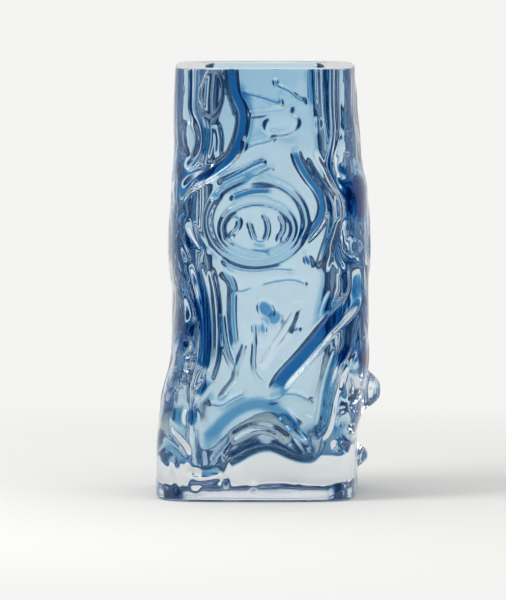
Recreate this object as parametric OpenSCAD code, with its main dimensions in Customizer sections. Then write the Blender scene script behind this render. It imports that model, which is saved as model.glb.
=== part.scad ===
// Heavy cased glass vase, blown into a gnarled square mould.
// Two layers of glass: a coloured bubble, and the thick clear glass gathered over it.
// The front is the -Y side. The origin is the middle of the footprint, at the table.

/* [Body] */
// Height from the table to the ground rim
height = 240; // [200:5:300]
// Width at the foot, left to right
foot_width = 112; // [94:1:136]
// Depth at the foot, front to back
foot_depth = 109; // [90:1:132]
// Width at the rim
rim_width = 102; // [86:1:126]
// Depth at the rim
rim_depth = 96; // [82:1:120]
// How far the rim stands to the right of the foot
rim_lean = 1.6; // [-5:0.2:5]
// Radius of the rounded edge under the foot
foot_round = 3; // [1.5:0.5:5]
// Width of the ground arris round the rim
rim_arris = 0.6; // [0.3:0.1:1.2]

/* [Glass] */
// Whole wall at the rim, both layers
rim_wall = 17; // [14:0.5:24]
// Whole wall at the belly
belly_wall = 16.5; // [13:0.5:23]
// Whole wall at the foot
foot_wall = 20; // [15:0.5:25]
// Clear glass under the middle of the bubble, before its dome
base_thick = 17.5; // [14:0.5:30]
// Height of the dome pushed up under the bubble
dome_rise = 26; // [0:0.5:28]
// How much lower the bubble's floor hangs on the left than in the middle
floor_tilt = 5; // [-5:0.5:5]
// Height over which the bubble rounds from its floor into its wall
bubble_round = 22; // [18:1:36]
// Coloured glass at the rim
colour_rim = 1.8; // [1:0.1:3]
// Coloured glass at the belly
colour_belly = 1.1; // [0.8:0.1:2]
// Coloured glass on the floor of the bubble
colour_floor = 2.6; // [1:0.1:4]

/* [Relief] */
// Height of a fold on the skin whose share is one
fold_rise = 4; // [1:0.2:4.8]
// Thickness of a rib of coloured glass whose share is one
rib_rise = 9; // [3:0.5:11]
// Height of a fold on the wall of the cavity whose share is one
cavity_rise = 0.5; // [0:0.1:1.5]
// Height of the soft waves between the folds
wave_rise = 0.7; // [0:0.1:1.2]
// How square the foot is: 2 is an ellipse, larger is squarer
foot_squareness = 4.6; // [2.5:0.1:6]
// How square the rim is
rim_squareness = 5.2; // [2.5:0.1:6]
// How square the bubble is
bubble_squareness = 6; // [2.5:0.1:6.5]

/* [Hidden] */

// Columns round the bubble, and rows over its floor and up its wall. The skin has twice the columns.
bubble_columns = 44;
floor_rows = 7;
wall_rows = 17;
skin_columns = 2 * bubble_columns;
skin_rows = 44;
foot_rows = 3;
// Share by which the columns crowd toward the corners of the mould
corner_crowd_share = 0.25;
// Share of the clear wall that a fold of coloured glass may fill
colour_fill_share = 0.65;
// Share of the coloured layer that stays where a fold draws it thin
colour_keep_share = 0.6;
// Share of the coloured layer on the left and right of the bubble
colour_side_share = 0.4;
// Share of the clear glass that stays under the deepest groove
groove_keep_share = 0.4;
// Share of the skin's relief that the bubble's wall follows
follow_share = 0.05;
// How much wider a fold is on the wall of the cavity than on the skin
cavity_spread = 1.6;
// How flat the floor of the bubble is: 2 is round, larger is flatter
floor_flatness = 2.8;
// How far the bubble's corners hang below its sides, as a share of the dome
corner_hang_share = 0.7;
// The casing magnifies the bubble by this in the middle of a side, and by both at its edge
seen_middle = 1.03;
seen_edge = 0.25;
// A side's folds start to fade in where the mould faces it by this much, and are whole by side_full
side_start = 0.45;
side_full = 0.92;

// Swell of the mould at each height: height share, then left, right, front and back
// as shares of the straight taper from foot to rim
swell_shares = [
    [0.00, 1.09, 0.93, 1.00, 1.02],
    [0.13, 1.09, 0.93, 1.00, 1.03],
    [0.22, 1.05, 1.00, 0.97, 1.05],
    [0.33, 0.96, 1.06, 0.95, 1.05],
    [0.45, 0.95, 1.08, 0.98, 1.06],
    [0.58, 1.01, 1.10, 1.03, 1.04],
    [0.71, 1.01, 1.08, 1.02, 1.00],
    [0.80, 0.99, 1.00, 0.98, 0.97],
    [0.92, 1.01, 0.96, 1.00, 1.00],
    [1.00, 1.00, 0.96, 1.00, 1.00],
];

// Folds that the mould presses into each side. Each has three rises, as shares: of fold_rise for the
// skin, rib_rise for the coloured layer and cavity_rise for the cavity. Then come its half width as a
// share of half the foot's width, the outer share over which it fades, and its route: across from the
// middle of the side, and up, in shares.
front_fold_shares = [
    // the bubble's left wall, and the wide sweep from the rim to the left edge
    [[-0.40, 0.85, -0.60], 0.075, 0.9,
        [[-0.66, 1.02], [-0.67, 0.94], [-0.69, 0.90], [-0.60, 0.85], [-0.68, 0.785], [-0.80, 0.765]]],
    [[-0.50, 0.90, -0.60], 0.085, 0.8,
        [[-0.42, 1.01], [-0.39, 0.965], [-0.25, 0.915], [-0.20, 0.89], [-0.26, 0.825], [-0.43, 0.775],
         [-0.70, 0.74], [-0.89, 0.68]]],
    // ribbons between the sweep and the eye
    [[-0.34, 0.70, -0.45], 0.060, 0.9, [[-0.46, 0.735], [-0.20, 0.765], [0.05, 0.79]]],
    [[-0.28, 0.50, -0.30], 0.060, 0.9, [[-0.36, 0.695], [-0.08, 0.718], [0.12, 0.717]]],
    [[0.28, 0.00, 0.10], 0.055, 0.9, [[-0.20, 0.90], [0.05, 0.905], [0.32, 0.915]]],
    [[-0.12, 0.40, -0.30], 0.060, 0.8, [[0.47, 1.01], [0.48, 0.95], [0.49, 0.905]]],
    // the bubble's right wall, dark from the rim to the wide patch
    [[-0.36, 0.80, -0.55], 0.065, 0.9,
        [[0.69, 1.02], [0.70, 0.89], [0.70, 0.83], [0.64, 0.775], [0.73, 0.725], [0.80, 0.71]]],
    [[-0.45, 0.95, -0.65], 0.095, 0.8, [[0.86, 0.715], [0.87, 0.68], [0.85, 0.65]]],
    // the blue ribbon and the pale ribbon that curl round the eye
    [[-0.36, 0.60, -0.45], 0.070, 0.9,
        [[0.29, 0.79], [0.33, 0.755], [0.52, 0.70], [0.56, 0.665], [0.53, 0.635], [0.34, 0.59]]],
    [[0.40, -0.05, 0.20], 0.080, 0.9,
        [[0.42, 0.79], [0.64, 0.71], [0.70, 0.665], [0.67, 0.61], [0.57, 0.53]]],
    // the long dark lens on the left, and its pale neighbours
    [[-0.45, 1.00, -0.75], 0.085, 0.7,
        [[-0.64, 0.54], [-0.56, 0.45], [-0.54, 0.36], [-0.55, 0.32], [-0.59, 0.29]]],
    [[0.28, 0.00, 0.10], 0.055, 0.9,
        [[-0.76, 0.60], [-0.68, 0.55], [-0.71, 0.49], [-0.66, 0.42], [-0.69, 0.27]]],
    [[-0.30, 0.45, -0.20], 0.060, 0.9, [[-0.86, 0.52], [-0.74, 0.45], [-0.71, 0.41]]],
    // the wide diagonal band, and the one that runs down beside it
    [[-0.50, 1.00, -0.75], 0.110, 0.7,
        [[0.90, 0.56], [0.94, 0.51], [0.92, 0.475], [0.84, 0.452], [0.62, 0.400], [0.38, 0.332],
         [0.18, 0.282], [0.13, 0.258]]],
    [[-0.34, 0.80, -0.50], 0.060, 0.9,
        [[0.97, 0.44], [0.92, 0.36], [0.79, 0.30], [0.68, 0.225], [0.66, 0.185], [0.51, 0.145]]],
    // low folds over the bubble's floor and down the clear foot
    [[0.34, 0.00, 0.00], 0.060, 0.9,
        [[-0.96, 0.25], [-0.97, 0.20], [-0.93, 0.16], [-0.82, 0.135], [-0.72, 0.105]]],
    [[-0.20, 0.60, -0.40], 0.070, 0.8, [[-0.52, 0.285], [-0.60, 0.26], [-0.68, 0.235]]],
    [[-0.25, 0.40, -0.25], 0.060, 0.9, [[0.18, 0.215], [0.40, 0.16], [0.52, 0.13]]],
    [[0.25, 0.00, 0.00], 0.060, 0.9, [[-0.68, 0.09], [-0.66, 0.05], [-0.70, 0.01]]],
];
right_fold_shares = [
    [[-0.45, 0.80, -0.55], 0.110, 0.9,
        [[-0.44, 1.01], [-0.38, 0.92], [-0.50, 0.80], [-0.40, 0.74], [-0.26, 0.70]]],
    [[-0.50, 0.85, -0.60], 0.110, 0.9,
        [[0.34, 1.01], [0.30, 0.94], [0.52, 0.83], [0.56, 0.78], [0.44, 0.72]]],
    [[0.40, 0.00, 0.10], 0.120, 0.9, [[0.02, 0.97], [0.00, 0.88], [0.20, 0.75]]],
    [[-0.45, 0.70, -0.50], 0.100, 0.9, [[-0.50, 0.62], [-0.42, 0.49], [-0.04, 0.44]]],
    [[-0.50, 0.90, -0.60], 0.110, 0.9,
        [[0.56, 0.64], [0.46, 0.56], [0.52, 0.48], [0.20, 0.37], [-0.14, 0.28]]],
    [[0.35, 0.00, 0.10], 0.100, 0.9, [[-0.44, 0.38], [-0.36, 0.31], [-0.42, 0.24], [-0.34, 0.17]]],
    [[0.30, 0.00, 0.00], 0.080, 0.9, [[-0.50, 0.10], [-0.34, 0.12], [-0.12, 0.09]]],
];
back_fold_shares = [
    [[-0.40, 0.80, -0.50], 0.100, 0.9,
        [[-0.62, 1.01], [-0.60, 0.92], [-0.66, 0.86], [-0.58, 0.80], [-0.80, 0.71]]],
    [[-0.40, 0.80, -0.50], 0.095, 0.9, [[0.64, 1.01], [0.66, 0.93], [0.58, 0.87], [0.80, 0.77]]],
    [[-0.35, 0.50, -0.30], 0.090, 0.9, [[-0.34, 0.80], [-0.14, 0.84], [0.32, 0.79], [0.44, 0.73]]],
    [[-0.40, 0.80, -0.50], 0.110, 0.9, [[-0.78, 0.62], [-0.68, 0.55], [-0.72, 0.48], [-0.62, 0.34]]],
    [[-0.40, 0.70, -0.45], 0.100, 0.9, [[0.82, 0.46], [0.62, 0.35], [0.28, 0.29]]],
];
left_fold_shares = [
    [[-0.45, 0.80, -0.55], 0.110, 0.9,
        [[-0.46, 1.01], [-0.48, 0.93], [-0.38, 0.87], [-0.46, 0.81], [-0.58, 0.76]]],
    [[0.35, 0.00, 0.10], 0.110, 0.9, [[-0.10, 0.98], [-0.04, 0.90], [0.02, 0.77]]],
    [[-0.45, 0.80, -0.55], 0.105, 0.9,
        [[0.32, 1.01], [0.28, 0.93], [0.40, 0.87], [0.12, 0.74], [-0.34, 0.67]]],
    [[-0.45, 0.70, -0.50], 0.100, 0.9, [[-0.48, 0.60], [-0.32, 0.48], [-0.42, 0.42], [-0.38, 0.35]]],
    [[-0.50, 0.90, -0.60], 0.110, 0.9, [[0.52, 0.50], [0.28, 0.42], [0.02, 0.31], [0.06, 0.25]]],
    [[0.35, 0.00, 0.10], 0.100, 0.9, [[0.46, 0.35], [0.38, 0.29], [0.42, 0.22], [0.32, 0.16]]],
    [[0.30, 0.00, 0.00], 0.080, 0.9, [[-0.40, 0.11], [-0.16, 0.09], [0.10, 0.11]]],
];

// Lenses in each side: rises as above, then half width and half height as shares of half the foot's
// width, tilt in degrees, the outer share over which it fades, and the middle: across and up
front_lens_shares = [
    [[0.42, -0.60, 0.25], 0.120, 0.26, -4, 0.60, [-0.51, 0.950]],
    [[0.40, -0.40, 0.20], 0.100, 0.20, 4, 0.60, [-0.72, 0.840]],
    [[0.32, -0.04, 0.20], 0.215, 0.14, 8, 0.60, [0.18, 0.874]],
    [[0.40, -0.30, 0.25], 0.130, 0.15, 12, 0.60, [0.80, 0.775]],
    [[0.35, -0.20, 0.25], 0.110, 0.09, 0, 0.70, [0.89, 0.590]],
    [[-0.36, 0.85, -0.50], 0.062, 0.10, 28, 0.9, [0.44, 0.558]],
    [[-0.24, 0.65, -0.40], 0.115, 0.13, 10, 0.60, [0.05, 0.432]],
    [[-0.32, 0.75, -0.45], 0.090, 0.10, 0, 0.7, [-0.79, 0.362]],
    [[-0.20, 0.80, -0.50], 0.095, 0.14, 0, 0.60, [-0.72, 0.193]],
    [[-0.34, 0.75, -0.45], 0.080, 0.10, 0, 0.7, [0.90, 0.325]],
    [[-0.20, 0.70, -0.40], 0.090, 0.09, 0, 0.7, [0.80, 0.190]],
    [[0.25, 0.00, 0.10], 0.085, 0.06, -12, 0.8, [0.74, 0.130]],
];
right_lens_shares = [
    [[0.40, -0.30, 0.20], 0.150, 0.22, 10, 0.6, [-0.22, 0.80]],
    [[-0.30, 0.60, -0.45], 0.120, 0.16, 0, 0.7, [0.20, 0.49]],
];
// Round clear lobes that stand out low at the back of the right side
lobe_lens_shares = [
    [[2.75, 0.00, 0.00], 0.32, 0.28, 0, 0.85, [0.54, 0.228]],
    [[1.90, 0.00, 0.00], 0.28, 0.17, 0, 0.85, [0.58, 0.076]],
];
back_lens_shares = [
    [[0.40, -0.30, 0.20], 0.140, 0.22, 8, 0.6, [-0.40, 0.92]],
    [[-0.30, 0.60, -0.40], 0.130, 0.15, 0, 0.7, [0.50, 0.56]],
];
left_lens_shares = [
    [[0.35, -0.30, 0.20], 0.130, 0.20, 0, 0.6, [-0.66, 0.86]],
    [[-0.30, 0.60, -0.40], 0.110, 0.13, 0, 0.7, [0.16, 0.58]],
];
// Facing, strength, folds and lenses of the four sides, and of the lobes on the right
sides = [
    [-90, 1, front_fold_shares, front_lens_shares],
    [0, 0.25, right_fold_shares, right_lens_shares],
    [90, 0.25, back_fold_shares, back_lens_shares],
    [180, 0.25, left_fold_shares, left_lens_shares],
    [0, 1, [], lobe_lens_shares],
];
// Soft waves: how often round, turn of the wave from foot to rim, start and share of wave_rise
wave_shares = [[3, 500, 20, 0.5], [5, -420, 110, 0.4], [8, 760, 60, 0.3]];

function mix(a, b, t) = a + (b - a) * t;
function ease(t) = let (s = max(0, min(1, t))) s * s * (3 - 2 * s);
function total(list) = len(list) == 0 ? [0, 0, 0] : [for (e = list) 1] * list;
function turned(a) = [cos(a), sin(a)];

// 1 in the middle, falling to 0 at d = 1 over the outer share that edge gives
function bump(d, edge) = let (t = max(0, min(1, (d - 1 + edge) / edge))) pow(1 - t * t, 2);

// The mould's swell at height share v, eased between the rows of its table
function swell(v, i = 0) =
    v > swell_shares[i + 1][0] && i < len(swell_shares) - 2 ? swell(v, i + 1) :
    let (low = swell_shares[i], high = swell_shares[i + 1])
    mix(low, high, ease((v - low[0]) / (high[0] - low[0])));

// Angle of column j of a ring that has count columns
function column(j, count) = let (t = 360 * j / count) t + corner_crowd_share * sin(4 * t) * 45 / PI;

// Plain wall of the mould at angle a and height share v, or of the bubble that lies wall inside it,
// as [point, outward normal, half sizes]
function mould(a, v, wall = 0) =
    let (s = swell(v), c = cos(a), n = sin(a),
         half_x = mix(foot_width, rim_width, v) / 2 * (c < 0 ? s[1] : s[2]) - wall,
         half_y = mix(foot_depth, rim_depth, v) / 2 * (n < 0 ? s[3] : s[4]) - wall,
         square = wall > 0 ? bubble_squareness : mix(foot_squareness, rim_squareness, v),
         reach = pow(pow(abs(c), square) + pow(abs(n), square), -1 / square),
         slope = [sign(c) * pow(abs(c * reach), square - 1) / half_x,
                  sign(n) * pow(abs(n * reach), square - 1) / half_y])
    [[half_x * reach * c + rim_lean * v, half_y * reach * n], slope / norm(slope), [half_x, half_y]];

// Where a point of the bubble's plain wall shows on the skin
function seen(spot) =
    [[for (i = [0, 1]) spot[0][i] * (seen_middle + seen_edge * pow(spot[0][i] / spot[2][i], 2))], spot[1]];

// Distance from p to a segment, and to a route of them
function to_segment(p, a, b) =
    let (run = b - a, t = max(0, min(1, (p - a) * run / (run * run))))
    norm(p - a - t * run);
function to_route(p, route) = min([for (i = [1 : len(route) - 1]) to_segment(p, route[i - 1], route[i])]);

// Rises of the skin, the coloured layer and the cavity at d from a fold's middle
function raised(d, edge, rises) =
    [fold_rise * rises[0] * bump(d, edge), rib_rise * rises[1] * bump(d, edge),
     cavity_rise * rises[2] * bump(d / cavity_spread, 1)];

// What one side's folds and lenses raise at p, across and up from the side's foot
function fold_at(p, fold) =
    let (half = fold[1] * foot_width / 2,
         route = [for (q = fold[3]) [q[0] * foot_width / 2, q[1] * height]])
    raised(to_route(p, route) / half, fold[2], fold[0]);
function lens_at(p, lens) =
    let (away = p - [lens[5][0] * foot_width / 2, lens[5][1] * height],
         along = turned(lens[3]), aside = turned(lens[3] + 90),
         d = norm([away * along / lens[1], away * aside / lens[2]]) / (foot_width / 2))
    raised(d, lens[4], lens[0]);

// Rises of the skin, the coloured layer and the cavity wall at a point of the mould
function relief(spot, v) =
    total([for (side = sides)
        let (weight = side[1] * ease((spot[1] * turned(side[0]) - side_start) / (side_full - side_start)))
        if (weight > 0.001)
            let (p = [spot[0] * turned(side[0] + 90), v * height])
            weight * (total([for (f = side[2]) fold_at(p, f)]) + total([for (k = side[3]) lens_at(p, k)]))]);
function wave(a, v) = wave_rise * total([for (w = wave_shares) w[3] * sin(w[0] * a + w[1] * v + w[2])]);

// Whole wall and coloured layer at height share v
function wall_at(v) =
    v < 0.4 ? mix(foot_wall, belly_wall, ease(v / 0.4)) : mix(belly_wall, rim_wall, ease((v - 0.4) / 0.6));
function colour_at(v) =
    v < 0.5 ? mix(colour_floor, colour_belly, ease((v - 0.10) / 0.13)) :
    mix(colour_belly, colour_rim, ease((v - 0.70) / 0.28));

// How far the skin stands out from the mould's plain wall. A groove never eats through the clear glass.
function skin_rise(a, v, rise) =
    max(rise[0] + wave(a, v), -(1 - groove_keep_share) * (wall_at(v) - colour_at(v)));

// The skin at angle a and height z, moved in by inset
function skin_point(a, z, inset = 0) =
    let (v = z / height, spot = mould(a, v), out = skin_rise(a, v, relief(spot, v)) - inset,
         p = spot[0] + spot[1] * out)
    [p[0], p[1], z];

// The bubble's wall at angle a, with floor_share from 0 at its middle to 1 where its floor ends, and
// wall_share from 0 there to 1 at the rim. Layer 0 is the cavity, and 1 the coloured glass's outside.
function bubble_point(a, floor_share, wall_share, layer) =
    let (low = base_thick + (1 - layer) * colour_floor,
         reach = pow(sin(90 * floor_share), 2 / floor_flatness),
         lift = 1 - pow(cos(90 * floor_share), 2 / floor_flatness),
         corner = pow(sin(2 * a), 2) * corner_hang_share * pow(reach, 2),
         dome = dome_rise * (pow(1 - reach * reach, 2) - corner) * (1 - lift),
         tilt = floor_tilt * cos(a) * reach,
         z = mix(low + bubble_round * lift + dome + tilt, height, wall_share),
         v = z / height,
         spot = mould(a, v, wall_at(v)),
         rise = relief(seen(spot), v),
         skin = skin_rise(a, v, rise),
         cavity = follow_share * skin + rise[2],
         room = wall_at(v) + skin - cavity,
         plain = colour_at(v) * mix(colour_side_share, 1, pow(spot[1][1], 2)),
         colour = min(max(colour_keep_share * plain, plain + rise[1]), colour_fill_share * room),
         on_wall = floor_share < 1 ? lift : 1,
         out = (cavity + layer * colour) * on_wall + layer * plain * (1 - on_wall),
         p = spot[0] + spot[1] * out)
    [p[0] * reach, p[1] * reach, z];

// Rings of the skin: the rounded foot, the sides and the arris of the rim
skin_levels = concat(
    [for (i = [0 : foot_rows])
        let (t = 90 * i / foot_rows) [foot_round * (1 - cos(t)), foot_round * (1 - sin(t))]],
    [for (i = [1 : skin_rows]) [mix(foot_round, height - rim_arris, i / skin_rows), 0]],
    [[height, rim_arris]]);
raw_skin = [for (level = skin_levels)
    [for (j = [0 : skin_columns - 1]) skin_point(column(j, skin_columns), level[0], level[1])]];
// Middle of the footprint's box
across = [for (ring = raw_skin) for (p = ring) p[0]];
deep = [for (ring = raw_skin) for (p = ring) p[1]];
middle = [(min(across) + max(across)) / 2, (min(deep) + max(deep)) / 2, 0];
skin = [for (ring = raw_skin) [for (p = ring) p - middle]];
function bubble(layer) =
    [for (i = [1 : floor_rows + wall_rows])
        let (floor_share = min(1, i / floor_rows), wall_share = max(0, i - floor_rows) / wall_rows)
        [for (j = [0 : bubble_columns - 1])
            bubble_point(column(j, bubble_columns), floor_share, wall_share, layer) - middle]];
function bubble_pole(layer) =
    [0, 0, base_thick + (1 - layer) * colour_floor + dome_rise] - middle;

// Points of a stack of rings, and the faces between them, seen from outside when outward is true
function flat_list(rings) = [for (ring = rings) for (p = ring) p];
function ordered(face, outward) = outward ? face : [face[2], face[1], face[0]];
function shell_faces(first, rows, columns, outward) =
    [for (i = [0 : rows - 2], j = [0 : columns - 1], half = [0, 1])
        let (k = (j + 1) % columns, low = first + i * columns, high = low + columns)
        ordered(half == 0 ? [low + j, high + j, high + k] : [low + j, high + k, low + k], outward)];
function fan_faces(pole, first, columns, outward) =
    [for (j = [0 : columns - 1]) ordered([pole, first + j, first + (j + 1) % columns], outward)];
// Flat ring at the rim, between an outer ring and an inner one that has as many points or half as many
function rim_faces(outer, inner, columns, twice) =
    [for (j = [0 : columns - 1], part = [0 : twice ? 2 : 1])
        let (k = (j + 1) % columns, a = twice ? 2 * j : j, b = twice ? 2 * j + 1 : k,
             c = (2 * j + 2) % (2 * columns))
        part == 0 ? [outer + a, inner + j, outer + b] :
        part == 1 ? [inner + j, inner + k, outer + b] :
        [outer + b, inner + k, outer + c]];

// Clear glass: the gnarled skin and foot outside, and the seat of the coloured bubble inside
module clear_casing() {
    seat = bubble(1);
    skin_count = len(skin) * skin_columns;
    seat_count = len(seat) * bubble_columns;
    foot_pole = skin_count + seat_count;
    points = concat(flat_list(skin), flat_list(seat), [[0, 0, 0]], [bubble_pole(1)]);
    faces = concat(
        shell_faces(0, len(skin), skin_columns, true),
        fan_faces(foot_pole, 0, skin_columns, true),
        shell_faces(skin_count, len(seat), bubble_columns, false),
        fan_faces(foot_pole + 1, skin_count, bubble_columns, false),
        rim_faces(skin_count - skin_columns, skin_count + seat_count - bubble_columns, bubble_columns, true));
    color([0.93, 0.96, 0.97, 0.45]) polyhedron(points, faces);
}

// Coloured glass: the blown bubble that holds the water
module blue_lining() {
    outside = bubble(1);
    inside = bubble(0);
    count = len(outside) * bubble_columns;
    points = concat(flat_list(outside), flat_list(inside), [bubble_pole(1)], [bubble_pole(0)]);
    faces = concat(
        shell_faces(0, len(outside), bubble_columns, true),
        fan_faces(2 * count, 0, bubble_columns, true),
        shell_faces(count, len(inside), bubble_columns, false),
        fan_faces(2 * count + 1, count, bubble_columns, false),
        rim_faces(count - bubble_columns, 2 * count - bubble_columns, bubble_columns, false));
    color([0.25, 0.50, 0.80, 0.70]) polyhedron(points, faces);
}

clear_casing();
blue_lining();
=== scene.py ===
import bmesh
import bpy
import numpy as np
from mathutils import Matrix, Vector


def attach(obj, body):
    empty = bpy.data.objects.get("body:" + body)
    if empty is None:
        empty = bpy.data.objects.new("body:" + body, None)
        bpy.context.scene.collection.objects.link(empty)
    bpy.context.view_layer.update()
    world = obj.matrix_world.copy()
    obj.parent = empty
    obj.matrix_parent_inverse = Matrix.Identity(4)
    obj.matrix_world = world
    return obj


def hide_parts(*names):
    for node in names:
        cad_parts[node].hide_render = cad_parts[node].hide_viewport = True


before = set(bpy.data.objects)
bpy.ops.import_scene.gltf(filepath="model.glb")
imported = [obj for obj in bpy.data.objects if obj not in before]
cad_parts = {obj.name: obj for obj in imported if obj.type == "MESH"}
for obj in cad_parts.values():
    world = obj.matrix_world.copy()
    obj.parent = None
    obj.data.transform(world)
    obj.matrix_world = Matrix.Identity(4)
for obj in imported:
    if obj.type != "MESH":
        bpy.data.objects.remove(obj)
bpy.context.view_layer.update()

# Photographer's table. The camera stands 4.8 m in front with a long lens and looks slightly down,
# so that the back of the rim shows just above the front. The table and the room are the same pale
# grey, and only glass and gloss find the dark cards, the slips and the dim ceiling that draw them.
EYE = Vector((0.0, -4.800, 0.483))
AIM = Vector((-0.0085, 0.0, 0.1081))
LENS_MM = 515.4
FAR_CLIP = 60.0
PALE = (0.905, 0.905, 0.888, 1.0)
MATT_GREY = (0.72, 0.72, 0.708, 1.0)
CARD_EDGE = (0.055, 0.190, 0.390, 1.0)
CARD_BLACK = (0.001, 0.006, 0.035, 1.0)
# Where a card or slip fades in and out: 0 is straight to the left or right, 1 straight ahead
CARD_START = (0.12, 0.26)
CARD_END = (0.50, 0.66)
CARD_STRENGTH = 0.60
SLIP_START = (0.76, 0.86)
SLIP_END = (0.968, 0.990)
SLIP_STRENGTH = 0.9
# Where the dim room behind the camera, which gloss mirrors, fades in
ROOM_START = (-0.10, 0.45)
# Where the dark of the ceiling fades in and eases off again: 0 is level, 1 straight up
CEILING_START = (0.12, 0.28)
CEILING_END = (0.36, 0.60)
CEILING_STRENGTH = 0.80
CEILING_DROP = 0.70
LAMP_AIM = Vector((0.0, 0.0, 0.10))
TABLE_SIZE = 24.0
TABLE_GAP = 0.0003
LIT_RADIUS = 0.24
PLAIN_RADIUS = 0.60
LIGHT_BOUNCES = 40

camera_data = bpy.data.cameras.new("camera")
camera_data.lens = LENS_MM
camera_data.clip_end = FAR_CLIP
camera = bpy.data.objects.new("camera", camera_data)
camera.location = EYE
camera.rotation_euler = (AIM - EYE).to_track_quat("-Z", "Y").to_euler()
bpy.context.collection.objects.link(camera)
bpy.context.scene.camera = camera
# Thick glass turns light inward many times, and a path that is cut short leaves a black edge
for kind in ("max", "transmission", "glossy", "transparent_max"):
    setattr(bpy.context.scene.cycles, kind + "_bounces", LIGHT_BOUNCES)


def node(tree, kind, **settings):
    """A node with its settings, and any plain socket values given by name in values."""
    made = tree.nodes.new(kind)
    for name, value in settings.pop("values", {}).items():
        made.inputs[name].default_value = value
    for name, value in settings.items():
        setattr(made, name, value)
    return made


def maths(tree, operation, first, second=None):
    """The result of one Math node on sockets or plain numbers."""
    made = node(tree, "ShaderNodeMath", operation=operation)
    for socket, value in zip(made.inputs, (first, second)):
        if isinstance(value, (int, float)):
            socket.default_value = value
        elif value is not None:
            tree.links.new(value, socket)
    return made.outputs[0]


def ramp(tree, value, low, high):
    """0 below low, 1 above high, and smooth between."""
    ranged = node(tree, "ShaderNodeMapRange", interpolation_type="SMOOTHSTEP")
    tree.links.new(value, ranged.inputs["Value"])
    ranged.inputs["From Min"].default_value = low
    ranged.inputs["From Max"].default_value = high
    return ranged.outputs["Result"]


# How dark a direction is: Dark for light that comes through glass, Room for light mirrored in it
cards = bpy.data.node_groups.new("black_cards", "ShaderNodeTree")
cards.interface.new_socket("Direction", in_out="INPUT", socket_type="NodeSocketVector")
cards.interface.new_socket("Dark", in_out="OUTPUT", socket_type="NodeSocketFloat")
cards.interface.new_socket("Room", in_out="OUTPUT", socket_type="NodeSocketFloat")
way = node(cards, "ShaderNodeVectorMath", operation="NORMALIZE")
cards.links.new(node(cards, "NodeGroupInput").outputs["Direction"], way.inputs[0])
parts = node(cards, "ShaderNodeSeparateXYZ")
cards.links.new(way.outputs["Vector"], parts.inputs[0])
around = maths(cards, "ARCTAN2", parts.outputs["Y"], parts.outputs["X"])
ahead = maths(cards, "ABSOLUTE", maths(cards, "SINE", around))
past_card = maths(cards, "SUBTRACT", 1.0, ramp(cards, ahead, *CARD_END))
past_slip = maths(cards, "SUBTRACT", 1.0, ramp(cards, ahead, *SLIP_END))
slip = maths(cards, "MULTIPLY", ramp(cards, ahead, *SLIP_START), past_slip)
wide = maths(cards, "MULTIPLY", ramp(cards, ahead, *CARD_START), past_card)
wide = maths(cards, "MULTIPLY", wide, CARD_STRENGTH)
card = maths(cards, "MAXIMUM", wide, maths(cards, "MULTIPLY", slip, SLIP_STRENGTH))
ceiling = maths(cards, "MULTIPLY", ramp(cards, parts.outputs["Z"], *CEILING_START), CEILING_STRENGTH)
window = maths(cards, "MULTIPLY", ramp(cards, parts.outputs["Z"], *CEILING_END), CEILING_DROP)
dark = maths(cards, "MAXIMUM", card, maths(cards, "SUBTRACT", ceiling, window))
found = node(cards, "NodeGroupOutput")
cards.links.new(dark, found.inputs["Dark"])
toward_camera = maths(cards, "MULTIPLY", parts.outputs["Y"], -1.0)
cards.links.new(ramp(cards, toward_camera, *ROOM_START), found.inputs["Room"])


def carded(tree, direction):
    """Pale, but dark for glass and gloss where this direction meets a card or the dim room."""
    group = node(tree, "ShaderNodeGroup", node_tree=cards)
    tree.links.new(direction, group.inputs["Direction"])
    path = node(tree, "ShaderNodeLightPath")
    through = path.outputs["Is Transmission Ray"]
    outside = maths(tree, "SUBTRACT", 1.0, through)
    mirrored = maths(tree, "MULTIPLY", path.outputs["Is Glossy Ray"], outside)
    seen = maths(tree, "MAXIMUM", maths(tree, "MULTIPLY", group.outputs["Dark"], through),
                 maths(tree, "MULTIPLY", group.outputs["Room"], mirrored))
    shade = node(tree, "ShaderNodeValToRGB")
    stops = shade.color_ramp.elements
    stops[0].color = PALE
    stops[1].color = CARD_BLACK
    stops.new(0.5).color = CARD_EDGE
    tree.links.new(seen, shade.inputs["Fac"])
    return shade.outputs["Color"]


world = bpy.data.worlds.new("studio")
bpy.context.scene.world = world
world.use_nodes = True
tree = world.node_tree
tree.nodes.clear()
background = node(tree, "ShaderNodeBackground")
outward = node(tree, "ShaderNodeTexCoord").outputs["Generated"]
tree.links.new(carded(tree, outward), background.inputs["Color"])
tree.links.new(background.outputs[0], node(tree, "ShaderNodeOutputWorld").inputs["Surface"])

grid = bmesh.new()
bmesh.ops.create_grid(grid, x_segments=2, y_segments=2, size=TABLE_SIZE / 2)
bmesh.ops.translate(grid, vec=(0, 0, -TABLE_GAP), verts=grid.verts)
table_mesh = bpy.data.meshes.new("table_top")
grid.to_mesh(table_mesh)
grid.free()
table = bpy.data.objects.new("table_top", table_mesh)
bpy.context.collection.objects.link(table)

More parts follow.
